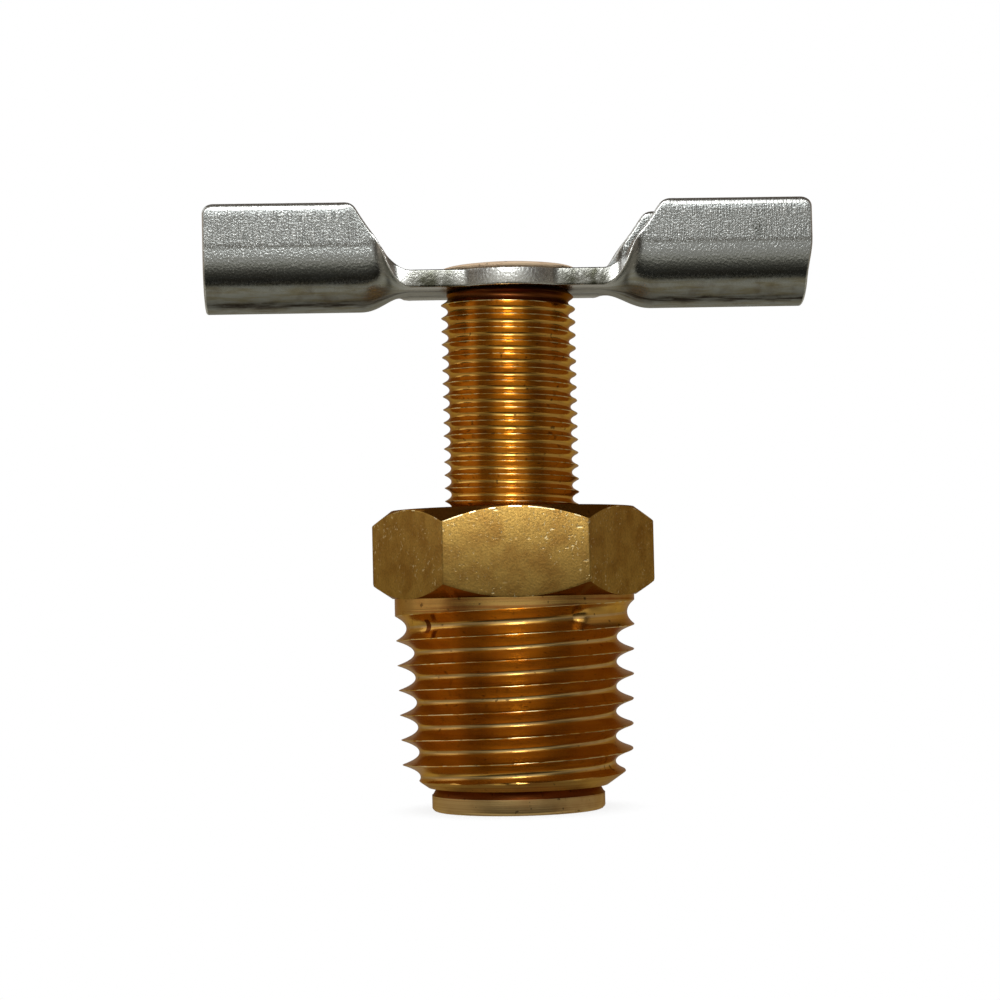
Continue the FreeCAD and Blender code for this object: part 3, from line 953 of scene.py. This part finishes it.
def blank_outline(size, tip, half_wing):
    """The flat blank's outline from a long side's middle to the tip's corner, with outward directions."""
    slope = math.degrees(size.shoulder_angle)
    strip = size.strip
    disc_centre = Vector((0, 0))
    hollow = size.disc_fillet
    hollow_x = math.sqrt((size.disc + hollow) ** 2 - (strip + hollow) ** 2)
    hollow_turn = math.degrees(math.atan2(strip + hollow, hollow_x))
    rise = half_wing - strip
    foot = size.shoulder - size.shoulder_fillet * math.tan(size.shoulder_angle / 2)
    head = size.shoulder + rise / math.tan(size.shoulder_angle)
    head_end = head + size.inner_corner * math.tan(size.shoulder_angle / 2)
    pieces = [
        arc(disc_centre, size.disc, 90, hollow_turn, DISC_STEPS),
        arc(Vector((hollow_x, strip + hollow)), hollow, 180 + hollow_turn, 270, HOLLOW_STEPS, hollow=True),
    ]
    fillet = size.shoulder_fillet
    inner = size.inner_corner
    outer = size.outer_corner
    shoulder_foot = arc(Vector((foot, strip + fillet)), fillet, 270, 270 + slope, CORNER_STEPS, hollow=True)
    shoulder_top = arc(Vector((head_end, half_wing - inner)), inner, 90 + slope, 90, CORNER_STEPS)
    corner = arc(Vector((tip - outer, half_wing - outer)), outer, 90, 0, CORNER_STEPS)
    pieces.append(straight(Vector((hollow_x, strip)), shoulder_foot[0][0], STRIP_STEPS))
    pieces.append(shoulder_foot)
    pieces.append(straight(shoulder_foot[-1][0], shoulder_top[0][0], SLOPE_STEPS))
    pieces.append(shoulder_top)
    pieces.append(straight(shoulder_top[-1][0], corner[0][0], WING_STEPS))
    pieces.append(corner)
    outline = pieces[0]
    for piece in pieces[1:]:
        outline = outline + piece[1:]
    return outline


def mirrored(outline, along, across):
    """A stretch of outline turned over along or across the blank, and run the other way."""
    over = Matrix.Diagonal((along, across))
    return [(over @ point, over @ away) for point, away in reversed(outline)]


def miscut(point, size):
    """How far one wing's cuts run nearer the axis than the pattern: rear shoulder, foot and hollow end."""
    rear = eased(point.y, size.strip * REAR_SHARE, REAR_RUN)
    skewed = rear * eased(point.x, *SKEW_RISE) * (1 - eased(point.x, *SKEW_FADE))
    slope = min(max((FOOT_END - point.x) / FOOT_FADE, 0), 1)
    hollow = eased(point.x, *BOW_RISE) * (1 - eased(abs(point.y), *BOW_FADE))
    foot = eased(point.x, *FOOT_RISE) * slope
    return size.skew * skewed + size.foot_shift * foot + size.bow * hollow


class DRAINCOCK_OT_handle(bpy.types.Operator):
    """Builds the folded steel wing handle"""
    bl_idname = "draincock.handle"
    bl_label = "Wing handle"

    def execute(self, context):
        size = context.scene.drain_cock_handle
        finish = context.scene.drain_cock_finishes
        tip = size.reach
        wing_top = HANDLE_HIGH[2]
        under = HANDLE_LOW[2] + size.drop
        fold_radius = (size.wing_width - size.sheet) / 2
        fold_arc = fold_radius * math.pi / 2
        half_wing = fold_arc + wing_top - HANDLE_LOW[2] - size.wing_width / 2

        def folded(x, along, offset):
            """Where a point of the flat blank comes to lie when the wings are folded up."""
            fold = eased(abs(x), size.fold_start, size.fold_length)
            level = under + size.sheet / 2 - size.drop * eased(abs(x), size.drop_start, size.drop_length)
            if fold == 0:
                return x, along, level + offset
            radius = fold_radius / fold
            turn = min(abs(along), fold_arc) / radius
            flank = max(abs(along) - fold_arc, 0)
            y = (radius - offset) * math.sin(turn) + flank * math.cos(turn)
            z = radius - (radius - offset) * math.cos(turn) + flank * math.sin(turn)
            return x, math.copysign(y, along), level + z

        quarter = blank_outline(size, tip, half_wing)
        side = mirrored(quarter[1:], -1, 1) + quarter
        rows = BLANK_ROWS
        half = size.sheet / 2
        quarter_turns = [math.pi / 2 * step / LIP_STEPS for step in range(LIP_STEPS + 1)]
        lips = [(1 - math.sin(turn), 1 - math.cos(turn), 1) for turn in quarter_turns]
        lips += [(inset, sink, -1) for inset, sink, _ in reversed(lips)]

        def rounding(point, away):
            """The sheet's edge is rolled over along the wings' tops and crisp elsewhere."""
            rolled = eased(abs(point.x), *ROLL_RISE) * away.y * away.y
            return size.strip_edge + (size.edge - size.strip_edge) * rolled

        corners, faces, finishes, flat, seams = [], [], [], [], []

        def place(point, offset):
            """Adds a folded point and remembers where it lay on the flat blank, in millimetres."""
            x, y, z = folded(point.x, point.y, offset)
            corners.append((x - miscut(point, size), y, z))
            flat.append((point.x / MM, point.y / MM))
            return len(corners) - 1

        def layer(offset):
            """A grid over the whole blank at an offset from its middle layer."""
            grid = []
            for point, away in side:
                edge = point - away * rounding(point, away)
                column = []
                for row in range(rows + 1):
                    share = 1 - 2 * row / rows
                    column.append(place(Vector((edge.x, edge.y * share)), offset))
                grid.append(column)
            return grid

        def rim(grid):
            """The grid's outer ring in order."""
            ring = [column[0] for column in grid]
            ring += grid[-1][1:-1]
            ring += [column[-1] for column in reversed(grid)]
            ring += list(reversed(grid[0][1:-1]))
            return ring

        upper = layer(half)
        lower = layer(-half)
        for grid, facing in ((upper, 1), (lower, -1)):
            for near, far in zip(grid, grid[1:]):
                for row in range(rows):
                    quad = (near[row], near[row + 1], far[row + 1], far[row])
                    faces.append(quad[::facing])
                    seams.extend(flat[corner] for corner in faces[-1])
                    finishes.append(0)
        outline = list(side)
        tip_away = Vector((1, 0))
        tip_half = side[-1][0].y
        tip_line = [(Vector((tip, tip_half * (1 - 2 * row / rows))), tip_away) for row in range(1, rows)]
        outline += tip_line
        outline += mirrored(side, 1, -1)
        outline += mirrored(tip_line, -1, 1)
        run = [0.0]
        for (near, _), (far, _) in zip(outline, outline[1:] + outline[:1]):
            run.append(run[-1] + (far - near).length / MM)
        depths = [0.05 * step for step in range(5)] + [0.95 + 0.05 * step for step in range(5)]
        last = rim(upper)
        for number, (inset, sink, facing) in enumerate(lips[1:]):
            if number == len(lips) - 2:
                ring = rim(lower)
            else:
                ring = []
                for point, away in outline:
                    radius = rounding(point, away)
                    ring.append(place(point - away * inset * radius, facing * (half - sink * radius)))
            high, low = depths[number], depths[number + 1]
            for near in range(len(ring)):
                far = (near + 1) % len(ring)
                faces.append((last[near], last[far], ring[far], ring[near]))
                start, end = run[near], run[near + 1]
                seams.extend(((start, high), (end, high), (end, low), (start, low)))
                finishes.append(1)
            last = ring
        mesh = bpy.data.meshes.new("wing_handle_folded")
        mesh.from_pydata(corners, [], faces)
        layer_uv = mesh.uv_layers.new(name="sheet")
        for loop, seam in zip(mesh.loops, seams):
            layer_uv.data[loop.index].uv = seam
        mesh.transform(Matrix.Rotation(size.turn, 4, "Z"))
        pit = (PIT_OUT, PIT_DOWN - half_wing / MM, 0)
        materials = [
            zinc_plate(finish.zinc, finish.zinc_stain, fold_arc / MM, pit),
            sheared_zinc(finish.sheared_zinc, finish.edge_painted_shade),
        ]
        piece = finished_object(mesh, "wing_handle_folded", materials, finishes, SHARP_SHEET)
        cut(piece, rod("handle_punch", size.hole, under - size.sheet, under + 2 * size.sheet))
        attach(piece, "handle")
        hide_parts("wing_handle")
        return {"FINISHED"}


def studio_sheet(name, corners, faces, material):
    """A sheet of the studio round the object."""
    mesh = bpy.data.meshes.new(name)
    mesh.from_pydata(corners, [], faces)
    mesh.materials.append(material)
    made = bpy.data.objects.new(name, mesh)
    bpy.context.scene.collection.objects.link(made)
    return made


def studio_dome(name, radius, crown, material, is_open):
    """A dome from the tent's foot to its crown, open where asked, which only shows in the metal."""
    def rise(row):
        """Degrees above the level at a row."""
        return TENT_FOOT + (crown - TENT_FOOT) * row / DOME_ROWS

    corners = []
    for row in range(DOME_ROWS + 1):
        up = math.radians(rise(row))
        for column in range(DOME_COLUMNS):
            turn = TURN * column / DOME_COLUMNS
            corners.append(radius * Vector((
                math.sin(turn) * math.cos(up), -math.cos(turn) * math.cos(up), math.sin(up))))
    faces = []
    for row in range(DOME_ROWS):
        for column in range(DOME_COLUMNS):
            bearing = (360 * (column + 0.5) / DOME_COLUMNS + 180) % 360 - 180
            if not is_open(rise(row + 0.5), bearing):
                near = row * DOME_COLUMNS + column
                far = row * DOME_COLUMNS + (column + 1) % DOME_COLUMNS
                faces.append((near, far, far + DOME_COLUMNS, near + DOME_COLUMNS))
    dome = studio_sheet(name, corners, faces, material)
    dome.location = OBJECT_MIDDLE
    dome.visible_camera = False
    dome.visible_diffuse = False
    dome.visible_shadow = False


class DRAINCOCK_OT_stage(bpy.types.Operator):
    """Sets the pale floor, the soft studio light and the camera"""
    bl_idname = "draincock.stage"
    bl_label = "Stage"

    def execute(self, context):
        scene = context.scene
        size = scene.drain_cock_stage
        finish = scene.drain_cock_finishes
        scene.view_settings.view_transform = "Standard"
        self.set_world(scene)
        self.set_floor(finish)
        self.set_light(scene, size)
        self.set_camera(scene, size)
        return {"FINISHED"}

    def set_world(self, scene):
        """White to the eye and in the metal, and an even soft light for the rest."""
        world = bpy.data.worlds.new("White studio")
        scene.world = world
        world.use_nodes = True
        tree = world.node_tree
        tree.nodes.clear()
        path = add(tree, "LightPath")
        seen = add(tree, "Math", [
            path.outputs["Is Camera Ray"], path.outputs["Is Glossy Ray"]], operation="MAXIMUM")
        shown = add(tree, "Math", [seen, path.outputs["Is Transmission Ray"]], operation="MAXIMUM")
        strength = add(tree, "MapRange", [shown, 0.0, 1.0, 0.5, 1.0])
        glow = add(tree, "Background", [(1, 1, 1, 1), strength])
        add(tree, "OutputWorld", [glow])

    def set_floor(self, finish):
        """A pale floor with a soft shadow, clear to the eye, so that a stem sunk below it still shows."""
        material, tree = new_material("Pale studio floor")
        path = add(tree, "LightPath")
        place = add(tree, "TexCoord").outputs["Object"]
        away = add(tree, "VectorMath", [place], operation="LENGTH")
        fade = add(tree, "MapRange", [away, 4.5 * MM, 8 * MM, 0.86, 1.0], interpolation_type="SMOOTHSTEP")
        share = add(tree, "Math", [path.outputs["Is Camera Ray"], fade], operation="MULTIPLY")
        paint = add(tree, "BsdfDiffuse", [linear(finish.floor)])
        clear = add(tree, "BsdfTransparent", [(1, 1, 1, 1)])
        mixed = add(tree, "MixShader", [share, paint, clear])
        add(tree, "OutputMaterial", [mixed])
        far = FLOOR_REACH
        corners = [(-far, -far, 0), (far, -far, 0), (far, far, 0), (-far, far, 0)]
        floor = studio_sheet("floor", corners, [(0, 1, 2, 3)], material)
        floor.visible_glossy = False

    def set_light(self, scene, size):
        """A strip light above the camera, and a grey tent that lets the white studio in over the camera."""
        lamp = bpy.data.lights.new("strip_light", "AREA")
        lamp.shape = "RECTANGLE"
        lamp.size = LAMP_WIDTH
        lamp.size_y = LAMP_HEIGHT
        lamp.energy = size.key
        light = bpy.data.objects.new("strip_light", lamp)
        level = math.cos(LAMP_RISE)
        away = LAMP_DISTANCE * Vector((
            -math.sin(size.azimuth) * level, -math.cos(size.azimuth) * level, math.sin(LAMP_RISE)))
        place = OBJECT_MIDDLE + away
        facing = (place - OBJECT_MIDDLE).to_track_quat("Z", "Y")
        light.matrix_world = Matrix.Translation(place) @ facing.to_matrix().to_4x4()
        scene.collection.objects.link(light)
        self.set_tent(size)
        self.set_bowl(size)

    def set_tent(self, size):
        """Grey cloth round the object, paler and open in front and at the left, and warmer behind."""
        material, tree = new_material("Grey tent")
        place = add(tree, "TexCoord").outputs["Object"]
        flat = add(tree, "VectorMath", [place, (1, 1, 0)], operation="MULTIPLY")
        facing = add(tree, "VectorMath", [flat], operation="NORMALIZE")
        bearing = add(tree, "SeparateXYZ", [facing])
        level = TENT_GREY
        for axis, start, end, gain in TENT_SIDES:
            lobe = add(tree, "MapRange", [
                bearing.outputs[axis], start, end, 0.0, gain], interpolation_type="SMOOTHSTEP")
            level = add(tree, "Math", [level, lobe], operation="ADD")
        askew = add(tree, "Math", [bearing.outputs["Y"], TENT_ASKEW], operation="ADD")
        off_askew = add(tree, "Math", [askew], operation="ABSOLUTE")
        dip = add(tree, "MapRange", [off_askew, 0.1, 0.34, 0.45, 1.0], interpolation_type="SMOOTHSTEP")
        right = add(tree, "VectorMath", [facing, TENT_RIGHT], operation="DOT_PRODUCT")
        shade = add(tree, "MapRange", [right, 0.75, 0.95, 1.0, 0.72], interpolation_type="SMOOTHSTEP")
        lean = add(tree, "VectorMath", [place], operation="NORMALIZE")
        back = add(tree, "VectorMath", [lean, TENT_ROOF], operation="DOT_PRODUCT")
        roof = add(tree, "MapRange", [back, 0.66, 0.86, 1.0, 0.3])
        for mask in (dip, shade, roof):
            level = add(tree, "Math", [level, mask], operation="MULTIPLY")
        before = add(tree, "MapRange", [bearing.outputs["Y"], -0.5, -0.95, 0.0, 1.0])
        cloth = add(tree, "Mix", [before, linear(TENT_BACK), linear(TENT_FRONT)], data_type="RGBA")
        glow = add(tree, "Emission", [cloth, level])
        add(tree, "OutputMaterial", [glow])

        def is_open(rise, bearing):
            """The white studio shows in through the tent before the object and at its left."""
            low, high = OPEN_RISES
            left, right = OPEN_LEFT
            return low < rise < high and (abs(bearing) < OPEN_FRONT or left < bearing < right)

        studio_dome("grey_tent", size.tent, 90, material, is_open)

    def set_bowl(self, size):
        """What the metal sees below: pale in front, dark lower down, paler under and behind the object."""
        material, tree = new_material("Studio below")
        place = add(tree, "TexCoord").outputs["Object"]
        towards = add(tree, "VectorMath", [place], operation="NORMALIZE")
        split = add(tree, "SeparateXYZ", [towards])
        down = add(tree, "Math", [split.outputs["Z"], -1.0], operation="MULTIPLY")
        front = add(tree, "Math", [split.outputs["Y"], -1.0], operation="MULTIPLY")
        pitch = add(tree, "Math", [down, front], operation="ARCTAN2")
        share = add(tree, "MapRange", [pitch, 0.0, math.pi, 0.0, 1.0])
        ramp = add(tree, "ValToRGB", [share])
        elements = ramp.color_ramp.elements
        for number, (degrees, grey) in enumerate(GREYS_BELOW):
            if number in (0, len(GREYS_BELOW) - 1):
                element = elements[0 if number == 0 else -1]
            else:
                element = elements.new(degrees / 180)
            element.color = (*[grey * channel for channel in WARM_GREY], 1)
        aside = add(tree, "Math", [split.outputs["X"]], operation="ABSOLUTE")
        flank = add(tree, "MapRange", [aside, 0.6, 0.9, 0.0, 1.0])
        mixed = add(tree, "Mix", [flank, ramp, SIDE_BELOW], data_type="RGBA")
        glow = add(tree, "Emission", [mixed, 1.0])
        add(tree, "OutputMaterial", [glow])
        studio_dome("studio_below", size.tent, -90, material, lambda rise, bearing: False)

    def set_camera(self, scene, size):
        """The photograph's eye: level with the collar, close in, a little to the left and rolled."""
        lens = bpy.data.cameras.new("photo_eye")
        lens.sensor_width = 36
        lens.sensor_fit = "HORIZONTAL"
        lens.angle = size.view
        lens.clip_start = 5 * MM
        eye = bpy.data.objects.new("photo_eye", lens)
        focal = PIXELS / 2 / math.tan(size.view / 2)
        pitch = math.atan((LEVEL_ROW - PIXELS / 2) / focal)
        swing = math.atan((AXIS_COLUMN - PIXELS / 2) / focal)
        aside = -size.distance * math.sin(size.azimuth)
        before = -size.distance * math.cos(size.azimuth)
        place = Matrix.Translation((aside, before, size.eye_height))
        heading = Matrix.Rotation(-size.azimuth + swing, 4, "Z")
        tilt = Matrix.Rotation(math.pi / 2 + pitch, 4, "X")
        roll = Matrix.Rotation(-size.roll, 4, "Z")
        eye.matrix_world = place @ (heading @ tilt @ roll)
        scene.collection.objects.link(eye)
        scene.camera = eye


class DRAINCOCK_PT_panel(bpy.types.Panel):
    """Lists the drain cock's pieces and sizes"""
    bl_idname = "DRAINCOCK_PT_panel"
    bl_label = "Drain cock"
    bl_space_type = "VIEW_3D"
    bl_region_type = "UI"
    bl_category = "Drain cock"

    def draw(self, context):
        layout = self.layout
        for operator, group in PIECES:
            layout.operator(operator)
            box = layout.box()
            sizes = getattr(context.scene, group)
            for name in sizes.__annotations__:
                box.prop(sizes, name)
        box = layout.box()
        for name in context.scene.drain_cock_finishes.__annotations__:
            box.prop(context.scene.drain_cock_finishes, name)


PIECES = (
    ("draincock.body", "drain_cock_body"),
    ("draincock.stem", "drain_cock_stem"),
    ("draincock.handle", "drain_cock_handle"),
    ("draincock.stage", "drain_cock_stage"),
)
GROUPS = {
    "drain_cock_body": BodySizes,
    "drain_cock_stem": StemSizes,
    "drain_cock_handle": HandleSizes,
    "drain_cock_stage": StageSizes,
    "drain_cock_finishes": Finishes,
}
CLASSES = (
    *GROUPS.values(),
    DRAINCOCK_OT_body,
    DRAINCOCK_OT_stem,
    DRAINCOCK_OT_handle,
    DRAINCOCK_OT_stage,
    DRAINCOCK_PT_panel,
)


def register():
    """Registers the classes and puts their sizes on the scene."""
    for kind in CLASSES:
        bpy.utils.register_class(kind)
    for name, group in GROUPS.items():
        setattr(bpy.types.Scene, name, bpy.props.PointerProperty(type=group))


def unregister():
    """Takes the sizes and classes away again."""
    for name in GROUPS:
        delattr(bpy.types.Scene, name)
    for kind in reversed(CLASSES):
        bpy.utils.unregister_class(kind)


def main():
    """Builds every piece and the stage."""
    register()
    bpy.ops.draincock.body()
    bpy.ops.draincock.stem()
    bpy.ops.draincock.handle()
    bpy.ops.draincock.stage()


if __name__ == "__main__":
    main()
